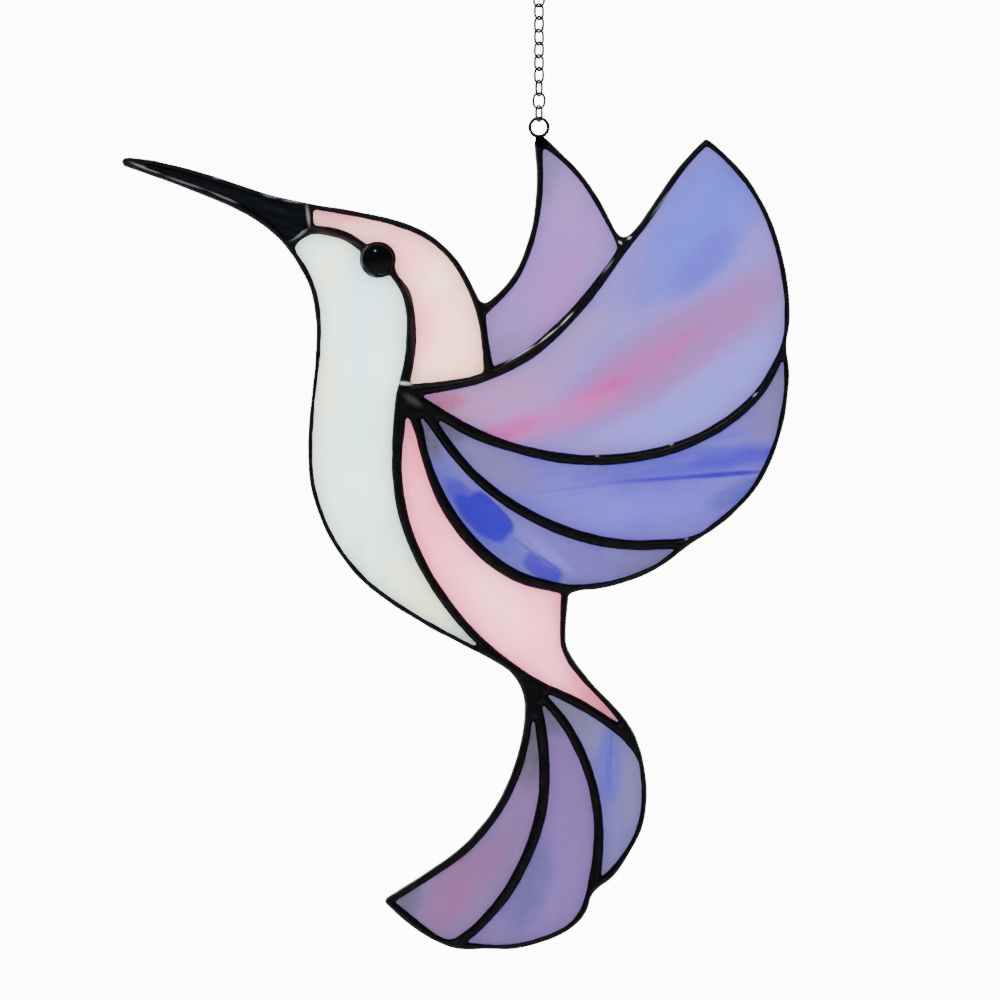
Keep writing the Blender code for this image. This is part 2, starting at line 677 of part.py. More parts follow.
# The panes' colours, as the light behind them shows them.
PANE_COLOURS = {
    "beak_pane": (0.004, 0.004, 0.008),
    "breast_pane": (0.70, 0.73, 0.70),
    "crown_pane": (0.86, 0.64, 0.66),
    "rear_wing_pane": (0.40, 0.31, 0.54),
    "upper_feather_pane": (0.42, 0.40, 0.66),
    "middle_feather_pane": (0.29, 0.29, 0.60),
    "lower_feather_pane": (0.24, 0.26, 0.60),
    "back_pane": (0.85, 0.55, 0.60),
    "tail_left_pane": (0.33, 0.22, 0.42),
    "tail_middle_pane": (0.30, 0.25, 0.50),
    "tail_right_pane": (0.22, 0.23, 0.54),
}

clear_scene()
suncatcher = collection("hummingbird_suncatcher")
cutting = collection("cutters")
solder_frame(suncatcher, cutting)
for pane_name, pane_colour in PANE_COLOURS.items():
    pane = flat_shape(pane_name, [pane_ring(pane_name)], HALF_PANE, suncatcher)
    finish(pane, pane_colour, 0.0, 0.15)
eye_gem(suncatcher)
wing_ring = torus("wing_ring", WING_RING_RADIUS, WING_RING_WIRE / 2, WING_RING_STEPS, suncatcher)
wing_ring.location = (0.0, 0.0, WING_RING_MIDDLE)
wing_ring.data.shade_smooth()
finish(wing_ring, (0.02, 0.02, 0.022), 0.8, 0.35)
for number, link_turn in enumerate(LINK_TURNS, start=1):
    link_height = LOW_LINK_MIDDLE + (number - 1) * LINK_PITCH
    chain_link(f"chain_link_{number:02d}", link_turn, link_height, suncatcher)
hanging_loop = torus("hanging_loop", LOOP_RADIUS, LOOP_WIRE / 2, LOOP_STEPS, suncatcher)
hanging_loop.location = (0.0, 0.0, LOOP_MIDDLE)
hanging_loop.data.shade_smooth()
finish(hanging_loop, (0.05, 0.05, 0.052), 0.9, 0.35)
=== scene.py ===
import math

import bmesh
import bpy
from mathutils import Matrix, Vector, kdtree, noise


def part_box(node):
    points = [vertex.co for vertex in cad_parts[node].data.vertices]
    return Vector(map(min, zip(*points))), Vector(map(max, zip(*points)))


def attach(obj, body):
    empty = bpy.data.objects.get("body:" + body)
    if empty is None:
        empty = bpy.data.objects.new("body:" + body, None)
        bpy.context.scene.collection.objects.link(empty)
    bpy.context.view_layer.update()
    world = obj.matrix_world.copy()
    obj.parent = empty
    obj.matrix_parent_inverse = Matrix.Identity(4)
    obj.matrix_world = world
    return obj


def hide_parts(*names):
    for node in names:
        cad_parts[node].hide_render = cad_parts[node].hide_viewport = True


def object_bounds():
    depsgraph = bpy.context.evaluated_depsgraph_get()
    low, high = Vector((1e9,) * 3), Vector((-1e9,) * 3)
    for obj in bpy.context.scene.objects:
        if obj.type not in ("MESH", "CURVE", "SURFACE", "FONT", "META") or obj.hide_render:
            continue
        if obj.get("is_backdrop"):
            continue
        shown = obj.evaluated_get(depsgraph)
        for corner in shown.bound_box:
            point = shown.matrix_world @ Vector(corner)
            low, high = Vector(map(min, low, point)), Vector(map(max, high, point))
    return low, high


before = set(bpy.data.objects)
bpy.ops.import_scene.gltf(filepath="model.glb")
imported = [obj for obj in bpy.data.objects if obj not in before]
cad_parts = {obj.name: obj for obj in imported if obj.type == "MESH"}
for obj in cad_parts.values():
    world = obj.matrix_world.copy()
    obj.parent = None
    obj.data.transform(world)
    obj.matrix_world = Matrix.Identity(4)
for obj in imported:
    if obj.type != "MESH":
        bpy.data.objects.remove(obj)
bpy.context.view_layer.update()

MM = 0.001
CM_IN_M = 100.0
TOUCHING = 1e-6

# The bird is drawn on a grid of squares, x to the right and y down. The tip of its rear wing is at
# WING_TIP, and hangs at TIP_HEIGHT below the hook.
SQUARE = 0.211 / 813.5
WING_TIP = (539.0, 139.5)
TIP_HEIGHT = -0.0513

# Solder beads: the height at which the frame's outline is taken, the half thickness of the plain
# bars, the beads' half thickness at their edge, what they rise above it, and how far in they rise.
BEAD_SHOULDER = 2.15 * MM
SHOULDER_PLAY = 0.02 * MM
BAR_HALF = 1.9 * MM
BEAD_FOOT = 1.62 * MM
BEAD_CROWN = 1.08 * MM
BEAD_SPREAD = 1.2 * MM
SOLDER_VOXEL = 0.3 * MM
SOLDER_TRIANGLES = 190000
# The outline runs smoothly through its points, but for turns sharper than CORNER.
CORNER = math.radians(42)
CURVE_STEPS = 10
OUTLINE_STEP = 0.05 * MM
# Lumps in the beads: how far apart, and how high. They are stronger round the hub.
LUMPS = ((7.0 * MM, 0.10 * MM), (2.6 * MM, 0.055 * MM), (1.1 * MM, 0.022 * MM))
HUB = (402.0, 392.0)
HUB_REACH = 9.0 * MM
HUB_EXTRA = 1.2
# The lump that holds the ring on the wing's tip. RING_LUMP_SKIN is how near its skin counts as on it,
# and RING_LUMP_DULL how far round it the solder is dull, in squares.
RING_LUMP = (540.0, 139.8)
RING_LUMP_REACH = Vector((1.35 * MM, 1.6 * MM, 1.3 * MM))
RING_LUMP_SKIN = 1.1
RING_LUMP_DULL = (14, 14)
SOLDER_SHINE = 0.06

# Wire. Its two ends butt in a nick, where it is NICK of its width.
WIRE_SIDES = 14
BEND_STEPS = 16
NICK = 0.86
NICK_REACH = 0.05 * MM
LINK_WIRE = 0.64 * MM
LINK_INNER_WIDTH = 2.36 * MM
LINK_INNER_LENGTH = 3.36 * MM
LINK_TURNS = (60, -20, 60, -45, 45, -45, 45, -45, 45, -30, 70)
RING_WIRE = 0.9 * MM
RING_STEPS = 72
RING_JOINT = math.radians(-60)
LOOP_WIRE = 1.0 * MM
LOOP_STEPS = 96
LOOP_JOINT = math.radians(20)

# Eye: its domes spring from EYE_SPRING, and its girdle sits in the bezel's groove.
EYE_RADIUS = 4.1 * MM
EYE_SPRING = 2.2 * MM
EYE_GIRDLE = 0.5 * MM
EYE_GROOVE = 0.6 * MM
EYE_DOME_STEPS = 16
EYE_STEPS = 64

# Acrylic. Streaks wider than WIDE_STREAK squares are pushed about by SMALL_SWIRL.
ACRYLIC_IOR = 1.49
GRAIN_REACH = (150, 28)
SWIRL = 0.5
SMALL_SWIRL = 0.175
WIDE_STREAK = 9

# Picture.
PICTURE_MIDDLE = (500.0, 500.0)
PICTURE_SPAN = 1000 * SQUARE
LENS = 180.0
SENSOR = 36.0
VIEW_DEPTH = 20.0

# Backdrop, in metres: the floor runs back to BEND_START and curves up into the wall, which glows.
FLOOR_HEIGHT = -0.45
FLOOR_FRONT = -3.0
BEND_START = 1.2
BEND_RADIUS = 1.3
BACKDROP_BEND_STEPS = 12
WALL_TOP = 3.2
BACKDROP_HALF = 4.0
GLOW_STARTS = 0.9
GLOW_FULL = 1.5
WALL_GLOW = 10.0

# Lamps: the spot from the picture's middle in metres, the size and the power in watts.
LAMPS = {
    "lamp": ((-0.25, -0.9, 0.75), (0.14, 0.14), 9.5),
    "softbox": ((-0.7, -1.1, 0.8), (1.6, 1.2), 3.0),
    "fill": ((1.2, -1.2, -0.2), (1.2, 1.6), 3.0),
}
AIR_TINT = (0.95, 0.97, 1.0, 1.0)
AIR_STRENGTH = 0.65


def place(x, y):
    """The spot in the scene of a point of the drawing."""
    return Vector(((x - WING_TIP[0]) * SQUARE, 0.0, (WING_TIP[1] - y) * SQUARE + TIP_HEIGHT))


# Nodes


def colour(red, green, blue):
    """A colour named by its screen values from 0 to 255."""
    shares = [value / 255 for value in (red, green, blue)]
    return (*[s / 12.92 if s <= 0.04045 else ((s + 0.055) / 1.055) ** 2.4 for s in shares], 1.0)


def add(look, kind, **settings):
    """A node of that kind, with its options and its inputs set by name."""
    made = look.node_tree.nodes.new("ShaderNode" + kind)
    for name, value in settings.items():
        if hasattr(made, name):
            setattr(made, name, value)
        else:
            made.inputs[name.replace("_", " ")].default_value = value
    return made


def join(look, start, end):
    look.node_tree.links.new(start, end)


def feed(look, value, socket):
    """Sets a socket to a plain value, or joins another node's output to it."""
    if isinstance(value, (int, float, tuple)):
        socket.default_value = value
    else:
        join(look, value, socket)


def new_look(name):
    look = bpy.data.materials.new(name)
    look.use_nodes = True
    return look, look.node_tree.nodes["Principled BSDF"]


def centimetres(look):
    """Object coordinates, with one unit to the centimetre."""
    where = add(look, "TexCoord")
    scaled = add(look, "Mapping", Scale=(CM_IN_M, CM_IN_M, CM_IN_M))
    join(look, where.outputs["Object"], scaled.inputs["Vector"])
    return scaled.outputs["Vector"]


def noise_of(look, vector, scale, detail, roughness=0.5, distortion=0.0, output="Fac"):
    made = add(look, "TexNoise", Scale=scale, Detail=detail, Roughness=roughness, Distortion=distortion)
    join(look, vector, made.inputs["Vector"])
    return made.outputs[output]


def ranged(look, value, low, high, to_low=0.0, to_high=1.0):
    """The value taken smoothly from one range to another."""
    made = add(look, "MapRange", From_Min=low, From_Max=high, To_Min=to_low, To_Max=to_high)
    made.interpolation_type = "SMOOTHSTEP"
    join(look, value, made.inputs["Value"])
    return made.outputs["Result"]


def math_of(look, operation, first, second):
    made = add(look, "Math", operation=operation)
    feed(look, first, made.inputs[0])
    feed(look, second, made.inputs[1])
    return made.outputs["Value"]


def blended(look, share, under, over):
    """The colour over laid on the colour under, as the share says."""
    made = add(look, "Mix", data_type="RGBA")
    feed(look, share, made.inputs["Factor"])
    feed(look, under, made.inputs[6])
    feed(look, over, made.inputs[7])
    return made.outputs[2]


def bumped(look, shader, height, distance, strength, under=None):
    """Small relief in a shader's surface, on top of the relief under it if there is one."""
    made = add(look, "Bump", Distance=distance, Strength=strength)
    join(look, height, made.inputs["Height"])
    if under is not None:
        join(look, under.outputs["Normal"], made.inputs["Normal"])
    join(look, made.outputs["Normal"], shader.inputs["Normal"])
    return made


# Streaks and patches


def swirled(look, vector, reach):
    """The coordinates pushed about, so that the colours run into each other as they did when poured."""
    push = noise_of(look, vector, scale=0.55, detail=3.0, roughness=0.55, output="Color")
    centred = add(look, "VectorMath", operation="SUBTRACT")
    centred.inputs[1].default_value = (0.5, 0.5, 0.5)
    join(look, push, centred.inputs[0])
    moved = add(look, "VectorMath", operation="MULTIPLY_ADD")
    moved.inputs[1].default_value = (reach, reach, reach)
    join(look, centred.outputs["Vector"], moved.inputs[0])
    join(look, vector, moved.inputs[2])
    return moved.outputs["Vector"]


def along(look, vector, middle, reach, turn):
    """Coordinates round a middle, given in squares, with reach squares to the unit along and across."""
    made = add(look, "Mapping", vector_type="TEXTURE")
    made.inputs["Location"].default_value = place(*middle) * CM_IN_M
    made.inputs["Rotation"].default_value = (0.0, math.radians(-turn), 0.0)
    made.inputs["Scale"].default_value = (reach[0] * SQUARE * CM_IN_M, 1.0, reach[1] * SQUARE * CM_IN_M)
    join(look, vector, made.inputs["Vector"])
    return made.outputs["Vector"]


def cornered(look, inside):
    """How far inside a square with rounded corners a spot is: 1 in its middle, and 0 on its edge."""
    parts = add(look, "SeparateXYZ")
    join(look, inside, parts.inputs["Vector"])
    sizes = [math_of(look, "ABSOLUTE", parts.outputs[axis], 0.0) for axis in "XZ"]
    fourth = [math_of(look, "POWER", size, 4.0) for size in sizes]
    return math_of(look, "SUBTRACT", 1.0, math_of(look, "POWER", math_of(look, "ADD", *fourth), 0.25))


def streak_share(look, vector, middle, reach, turn, strength, edge=0.6, broken=0.35, square=False):
    """How much of a streak's colour shows: an oval that fades out, and is broken into fine strands."""
    inside = along(look, vector, middle, reach, turn)
    if square:
        within = cornered(look, inside)
    else:
        oval = add(look, "TexGradient", gradient_type="SPHERICAL")
        join(look, inside, oval.inputs["Vector"])
        within = oval.outputs["Fac"]
    share = ranged(look, within, 0.0, edge, 0.0, strength)
    strands = noise_of(look, inside, scale=2.2, detail=4.0, roughness=0.6, distortion=0.3)
    thin = ranged(look, strands, 0.36, 0.62, 1.0 - broken, 1.0)
    return math_of(look, "MULTIPLY", share, thin)


def speckled(look, vector, body, tint, to_the_cm, size):
    """Small round specks over a colour, in some places only."""
    dots = add(look, "TexVoronoi", Scale=to_the_cm, Randomness=1.0)
    join(look, vector, dots.inputs["Vector"])
    dot = ranged(look, dots.outputs["Distance"], size * 0.6, size, 1.0, 0.0)
    some = ranged(look, noise_of(look, vector, scale=1.3, detail=2.0), 0.47, 0.6, 0.0, 0.75)
    return blended(look, math_of(look, "MULTIPLY", dot, some), body, tint)


# Materials


def acrylic(name, pale, deep, grain_turn, lets_through, softness, streaks, specks=None):
    """Streaky milky acrylic: two close colours in a fine grain, with streaks and specks over them."""
    look, shader = new_look(name)
    vector = centimetres(look)
    moved = swirled(look, vector, SWIRL)
    grained = along(look, moved, PICTURE_MIDDLE, GRAIN_REACH, grain_turn)
    grain = noise_of(look, grained, scale=1.6, detail=5.0, roughness=0.55, distortion=0.25)
    cloud = noise_of(look, moved, scale=0.42, detail=3.0)
    mixed = math_of(look, "ADD", grain, cloud)
    deepness = ranged(look, mixed, 1.0 - softness * 0.5, 1.0 + softness * 0.5)
    body = blended(look, deepness, pale, deep)
    nudged = swirled(look, vector, SMALL_SWIRL)
    for tint, middle, reach, *more in streaks:
        ground = nudged if reach[1] > WIDE_STREAK else vector
        body = blended(look, streak_share(look, ground, middle, reach, *more), body, tint)
    if specks is not None:
        body = speckled(look, vector, body, *specks)
    join(look, body, shader.inputs["Base Color"])
    shader.inputs["IOR"].default_value = ACRYLIC_IOR
    sheen = noise_of(look, vector, scale=3.0, detail=4.0)
    join(look, ranged(look, sheen, 0.3, 0.7, 0.12, 0.24), shader.inputs["Roughness"])
    slow = bumped(look, shader, noise_of(look, moved, scale=0.9, detail=2.0), 0.35 * MM, 0.5)
    bumped(look, shader, noise_of(look, grained, scale=5.0, detail=3.0), 0.03 * MM, 0.5, slow)
    glow = add(look, "BsdfTranslucent")
    join(look, body, glow.inputs["Color"])
    both = add(look, "MixShader", Fac=lets_through)
    join(look, shader.outputs["BSDF"], both.inputs[1])
    join(look, glow.outputs["BSDF"], both.inputs[2])
    join(look, both.outputs["Shader"], look.node_tree.nodes["Material Output"].inputs["Surface"])
    return look


def beak_acrylic():
    look, shader = new_look("black_acrylic")
    vector = centimetres(look)
    grain = noise_of(look, along(look, vector, (220, 190), (60, 8), -20), scale=1.5, detail=4.0)
    tint = blended(look, ranged(look, grain, 0.35, 0.7), colour(3, 4, 8), colour(8, 11, 20))
    join(look, tint, shader.inputs["Base Color"])
    shader.inputs["Specular IOR Level"].default_value = 0.08
    join(look, ranged(look, grain, 0.3, 0.7, 0.14, 0.3), shader.inputs["Roughness"])
    bumped(look, shader, noise_of(look, vector, scale=1.5, detail=2.0), 0.3 * MM, 0.5)
    return look


def black_solder():
    """Blackened solder: a dark satin skin, with small patches where the patina is thinner or worn, and
    painted highlights, glints and brown reflections at listed places.
    """
    look, shader = new_look("black_solder")
    vector = centimetres(look)
    patches = noise_of(look, vector, scale=2.4, detail=5.0, roughness=0.6)
    grit = noise_of(look, vector, scale=26.0, detail=4.0, roughness=0.65)
    thin = ranged(look, patches, 0.52, 0.78)
    tint = blended(look, thin, colour(3, 3, 5), colour(8, 8, 10))
    wear = math_of(look, "MULTIPLY", thin, ranged(look, grit, 0.52, 0.66))
    tint = blended(look, wear, tint, colour(30, 30, 34))
    # Painted highlights, glints, sheen and brown reflections, laid into the solder's colour.
    for painted_light_tint, middle, reach, turn, strength in PAINTED_HIGHLIGHTS:
        share = streak_share(look, vector, middle, reach, turn, strength, edge=0.7, broken=0.5)
        tint = blended(look, share, tint, painted_light_tint)
    join(look, tint, shader.inputs["Base Color"])
    dull = streak_share(look, vector, RING_LUMP, RING_LUMP_DULL, 0, 1.0, broken=0.0)
    shine = ranged(look, dull, 0.0, 1.0, SOLDER_SHINE, 0.0)
    join(look, shine, shader.inputs["Specular IOR Level"])
    join(look, ranged(look, patches, 0.3, 0.75, 0.24, 0.5), shader.inputs["Roughness"])
    dimples = noise_of(look, vector, scale=9.0, detail=4.0, roughness=0.55)
    dimpled = bumped(look, shader, dimples, 0.10 * MM, 0.7)
    bumped(look, shader, grit, 0.02 * MM, 0.6, dimpled)
    return look


def eye_gloss():
    look, shader = new_look("black_gem")
    depth = noise_of(look, centimetres(look), scale=3.0, detail=3.0)
    tint = blended(look, ranged(look, depth, 0.35, 0.7), colour(2, 2, 3), colour(6, 6, 8))
    join(look, tint, shader.inputs["Base Color"])
    join(look, ranged(look, depth, 0.3, 0.7, 0.05, 0.08), shader.inputs["Roughness"])
    shader.inputs["Specular IOR Level"].default_value = 0.05
    return look


def wire_metal(name, dark, worn, metallic, rough):
    """Darkened wire, finely scratched, with brighter worn places."""
    look, shader = new_look(name)
    vector = centimetres(look)
    rub = noise_of(look, vector, scale=7.0, detail=4.0, roughness=0.6)
    tint = blended(look, ranged(look, rub, 0.42, 0.68), dark, worn)
    join(look, tint, shader.inputs["Base Color"])
    shader.inputs["Metallic"].default_value = metallic
    shader.inputs["Specular IOR Level"].default_value = 0.12
    join(look, ranged(look, rub, 0.3, 0.7, rough + 0.12, rough), shader.inputs["Roughness"])
    bumped(look, shader, noise_of(look, vector, scale=60.0, detail=3.0), 0.01 * MM, 0.6)
    return look


# Pieces


def linked(name, data):
    """A new object in the scene."""
    item = bpy.data.objects.new(name, data)
    bpy.context.scene.collection.objects.link(item)
    return item


def in_scene(name, shape, looks, body="root", replaced=()):
    """A finished bmesh as a piece of the object, riding on its body."""
    data = bpy.data.meshes.new(name)
    bmesh.ops.recalc_face_normals(shape, faces=shape.faces)
    shape.to_mesh(data)
    shape.free()
    data.materials.append(looks)
    data.shade_smooth()
    item = linked(name, data)
    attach(item, body)
    if replaced:
        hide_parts(*replaced)


def worked_out(item):
    """A new mesh of an object as it is in the scene, with its curve or its modifiers worked out."""
    bpy.context.view_layer.update()
    evaluated = item.evaluated_get(bpy.context.evaluated_depsgraph_get())
    data = bpy.data.meshes.new_from_object(evaluated)
    data.transform(item.matrix_world)
    bpy.data.objects.remove(item, do_unlink=True)
    return data


# Solder seams


def loops_of(edges):
    """Edges that close into rings, as lists of points in walking order."""
    ahead = {}
    for edge in edges:
        first, second = edge.verts
        ahead.setdefault(first, []).append(second)
        ahead.setdefault(second, []).append(first)
    rings = []
    unused = dict.fromkeys(ahead)
    while unused:
        start = next(iter(unused))
        ring = [start]
        del unused[start]
        while True:
            onward = [vert for vert in ahead[ring[-1]] if vert in unused]
            if not onward:
                break
            ring.append(onward[0])
            del unused[onward[0]]
        rings.append([vert.co.copy() for vert in ring])
    return rings


def shoulder_rings():
    """The frame's outlines, inside and out, at the height of its front shoulder."""
    shape = bmesh.new()
    shape.from_mesh(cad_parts["solder_frame"].data)
    bmesh.ops.remove_doubles(shape, verts=shape.verts, dist=TOUCHING)
    shoulder = [
        edge for edge in shape.edges
        if all(abs(vert.co.y + BEAD_SHOULDER) < SHOULDER_PLAY for vert in edge.verts)
    ]
    rings = loops_of(shoulder)
    shape.free()
    return rings


def solder_outline():
    """The frame's outline as a flat filled curve that runs smoothly through its points."""
    data = bpy.data.curves.new("solder_outline", "CURVE")
    data.dimensions = "2D"
    data.fill_mode = "BOTH"
    data.resolution_u = CURVE_STEPS
    data.render_resolution_u = 0
    data.extrude = BAR_HALF
    for ring in shoulder_rings():
        spline = data.splines.new("BEZIER")
        spline.bezier_points.add(len(ring) - 1)
        spline.use_cyclic_u = True
        for index, (point, spot) in enumerate(zip(spline.bezier_points, ring)):
            before = spot - ring[index - 1]
            after = ring[(index + 1) % len(ring)] - spot
            sharp = before.xz.angle(after.xz) > CORNER
            point.co = (spot.x, spot.z, 0.0)
            point.handle_left_type = point.handle_right_type = "VECTOR" if sharp else "AUTO"
    item = linked("solder_outline", data)
    item.rotation_euler = (math.pi / 2, 0.0, 0.0)
    return item


def outline_tree(item):
    """A search tree of points set closely along the outline."""
    flat = item.data.copy()
    flat.extrude = 0.0
    flat.fill_mode = "NONE"
    flat.dimensions = "3D"
    wire = linked("outline_wire", flat)
    wire.rotation_euler = item.rotation_euler
    data = worked_out(wire)
    spots = []
    for edge in data.edges:
        start, end = (data.vertices[index].co for index in edge.vertices)
        count = max(1, math.ceil((end - start).length / OUTLINE_STEP))
        spots += [start.lerp(end, step / count) for step in range(count)]
    tree = kdtree.KDTree(len(spots))
    for index, spot in enumerate(spots):
        tree.insert((spot.x, 0.0, spot.z), index)
    tree.balance()
    return tree


def with_ring_lump(data):
    """The bars' mesh closed, with the ball of solder that holds the ring added to it."""
    shape = bmesh.new()
    shape.from_mesh(data)
    bmesh.ops.remove_doubles(shape, verts=shape.verts, dist=2 * TOUCHING)
    ball = bmesh.ops.create_uvsphere(shape, u_segments=32, v_segments=20, radius=1.0)
    bmesh.ops.scale(shape, verts=ball["verts"], vec=RING_LUMP_REACH)
    bmesh.ops.translate(shape, verts=ball["verts"], vec=place(*RING_LUMP))
    bmesh.ops.recalc_face_normals(shape, faces=shape.faces)
    shape.to_mesh(data)
    shape.free()
    return data


def crowned(shape, tree):
    """Rounds the flat bars up to their middles, front and back. The ring's lump stays as it is."""
    lump = place(*RING_LUMP)
    for vert in shape.verts:
        spot = vert.co
        away = [far / reach for far, reach in zip(spot - lump, RING_LUMP_REACH)]
        if Vector(away).length < RING_LUMP_SKIN:
            continue
        inward = tree.find((spot.x, 0.0, spot.z))[2]
        rise = 1.0 - (1.0 - min(inward / BEAD_SPREAD, 1.0)) ** 2
        height = abs(spot.y) / BAR_HALF * (BEAD_FOOT + BEAD_CROWN * rise)
        vert.co.y = math.copysign(height, spot.y)


def lumpy(shape):
    """Lifts the beads in small lumps, as a hand runs them."""
    hub = place(*HUB)
    shape.normal_update()
    moves = []
    for vert in shape.verts:
        lift = sum(high * noise.noise(vert.co / apart) for apart, high in LUMPS)
        near_hub = max(0.0, 1.0 - (vert.co.xz - hub.xz).length / HUB_REACH)
        moves.append(vert.normal * (lift * (1.0 + HUB_EXTRA * near_hub)))
    for vert, move in zip(shape.verts, moves):
        vert.co += move


def smoothed(shape):
    bmesh.ops.smooth_vert(
        shape, verts=shape.verts, factor=0.5, use_axis_x=True, use_axis_y=True, use_axis_z=True)


def solder_seams(look):
    """The beads as hand-run solder: bars with the frame's outline, crowned front and back, and lumpy."""
    outline = solder_outline()
    tree = outline_tree(outline)
    bar = linked("solder_bar", with_ring_lump(worked_out(outline)))
    even = bar.modifiers.new("Even", "REMESH")
    even.mode = "VOXEL"
    even.voxel_size = SOLDER_VOXEL
    data = worked_out(bar)
    shape = bmesh.new()
    shape.from_mesh(data)
    crowned(shape, tree)
    smoothed(shape)
    lumpy(shape)
    smoothed(shape)
    shape.to_mesh(data)
    shape.free()
    bar = linked("solder_bar", data)
    fewer = bar.modifiers.new("Fewer", "DECIMATE")
    triangles = sum(len(face.vertices) - 2 for face in data.polygons)
    fewer.ratio = min(1.0, SOLDER_TRIANGLES / triangles)
    fewer.use_collapse_triangulate = True
    shape = bmesh.new()
    shape.from_mesh(worked_out(bar))
    in_scene("solder_seams", shape, look, replaced=("solder_frame",))


# Wire and eye


def corners_of(edges):
    """The corners of some edges, each once."""
    return list(dict.fromkeys(vert for edge in edges for vert in edge.verts))


def turned(shape, angle, axis):
    bmesh.ops.rotate(shape, verts=shape.verts, cent=(0, 0, 0), matrix=Matrix.Rotation(angle, 3, axis))


def round_once(shape, edges, steps):
    """Sweeps edges once round Y into a closed skin."""
    bmesh.ops.spin(
        shape, geom=edges, cent=(0, 0, 0), axis=(0, 1, 0), angle=2 * math.pi, steps=steps,
        use_merge=True, use_duplicate=False)


def bent(shape, start, middle):
    """A wire's end swept half round a middle. Gives back the edges of the new end."""
    swung = bmesh.ops.spin(
        shape, geom=start, cent=middle, axis=(0, 1, 0), angle=-math.pi, steps=BEND_STEPS,
        use_duplicate=False)
    return [piece for piece in swung["geom_last"] if isinstance(piece, bmesh.types.BMEdge)]


def drawn(shape, start, length):
    """A wire's end drawn out straight, up or down. Gives back the edges of the new end."""
    longer = bmesh.ops.extrude_edge_only(shape, edges=start)["geom"]
    verts = [piece for piece in longer if isinstance(piece, bmesh.types.BMVert)]
    bmesh.ops.translate(shape, verts=verts, vec=(0.0, 0.0, length))
    edges = [piece for piece in longer if isinstance(piece, bmesh.types.BMEdge)]
    return [edge for edge in edges if all(vert in verts for vert in edge.verts)]


def resized(shape, verts, share):
    """Narrows or widens one cross-section of a wire about its middle."""
    centre = sum((vert.co for vert in verts), Vector()) / len(verts)
    bmesh.ops.scale(shape, verts=verts, vec=(share, share, share), space=Matrix.Translation(-centre))


def wire_link(name, height, turn, look):
    """A long link of round wire, with its butted ends in one side."""
    reach = (LINK_INNER_WIDTH + LINK_WIRE) / 2
    straight = (LINK_INNER_LENGTH - LINK_INNER_WIDTH) / 2
    shape = bmesh.new()
    ring = bmesh.ops.create_circle(shape, radius=LINK_WIRE / 2, segments=WIRE_SIDES)
    bmesh.ops.translate(shape, verts=ring["verts"], vec=(reach, 0.0, -straight))
    end = drawn(shape, shape.edges[:], straight - NICK_REACH)
    end = drawn(shape, end, NICK_REACH)
    resized(shape, corners_of(end), NICK)
    end = drawn(shape, end, NICK_REACH)
    resized(shape, corners_of(end), 1 / NICK)
    end = drawn(shape, end, straight - NICK_REACH)
    end = bent(shape, end, (0.0, 0.0, straight))
    end = drawn(shape, end, -2 * straight)
    bent(shape, end, (0.0, 0.0, -straight))
    bmesh.ops.remove_doubles(shape, verts=shape.verts, dist=TOUCHING)
    turned(shape, math.radians(turn), "Z")
    bmesh.ops.translate(shape, verts=shape.verts, vec=(0.0, 0.0, height))
    in_scene(name, shape, look, replaced=(name.replace("wire", "chain"),))


def wire_ring(name, node, wire, look, steps, joint_turn):
    """A ring of round wire in place of a CAD ring, with its butted ends at a turn round it."""
    low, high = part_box(node)
    radius = (high.z - low.z - wire) / 2
    shape = bmesh.new()
    ring = bmesh.ops.create_circle(shape, radius=wire / 2, segments=WIRE_SIDES)
    bmesh.ops.translate(shape, verts=ring["verts"], vec=(radius, 0.0, 0.0))
    round_once(shape, shape.edges[:], steps)
    quarter_step = 0.5 * math.pi / steps
    joint = [vert for vert in shape.verts if abs(math.atan2(vert.co.z, vert.co.x)) < quarter_step]
    resized(shape, joint, NICK)
    turned(shape, joint_turn, "Y")
    bmesh.ops.translate(shape, verts=shape.verts, vec=(low + high) / 2)
    in_scene(name, shape, look, replaced=(node,))


def eye_cabochon(look):
    """The eye's polished dome, turned about the line of sight, with a low dome behind."""
    low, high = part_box("eye_gem")
    middle = (low + high) / 2
    girdle = (high.x - low.x) / 2
    front = -low.y - EYE_SPRING
    back = high.y - EYE_SPRING
    turns = [math.pi / 2 * step / EYE_DOME_STEPS for step in range(EYE_DOME_STEPS + 1)]
    profile = [(EYE_RADIUS * math.sin(turn), -EYE_SPRING - front * math.cos(turn)) for turn in turns]
    profile += [(EYE_RADIUS, -EYE_GROOVE), (girdle, -EYE_GIRDLE)]
    profile += [(girdle, EYE_GIRDLE), (EYE_RADIUS, EYE_GROOVE)]
    turns.reverse()
    profile += [(EYE_RADIUS * math.sin(turn), EYE_SPRING + back * math.cos(turn)) for turn in turns]
    shape = bmesh.new()
    verts = [shape.verts.new((x, y, 0.0)) for x, y in profile]
    edges = [shape.edges.new(pair) for pair in zip(verts, verts[1:])]
    round_once(shape, edges, EYE_STEPS)
    bmesh.ops.remove_doubles(shape, verts=shape.verts, dist=TOUCHING)
    bmesh.ops.translate(shape, verts=shape.verts, vec=(middle.x, 0.0, middle.z))
    in_scene("eye_cabochon", shape, look, replaced=("eye_gem",))
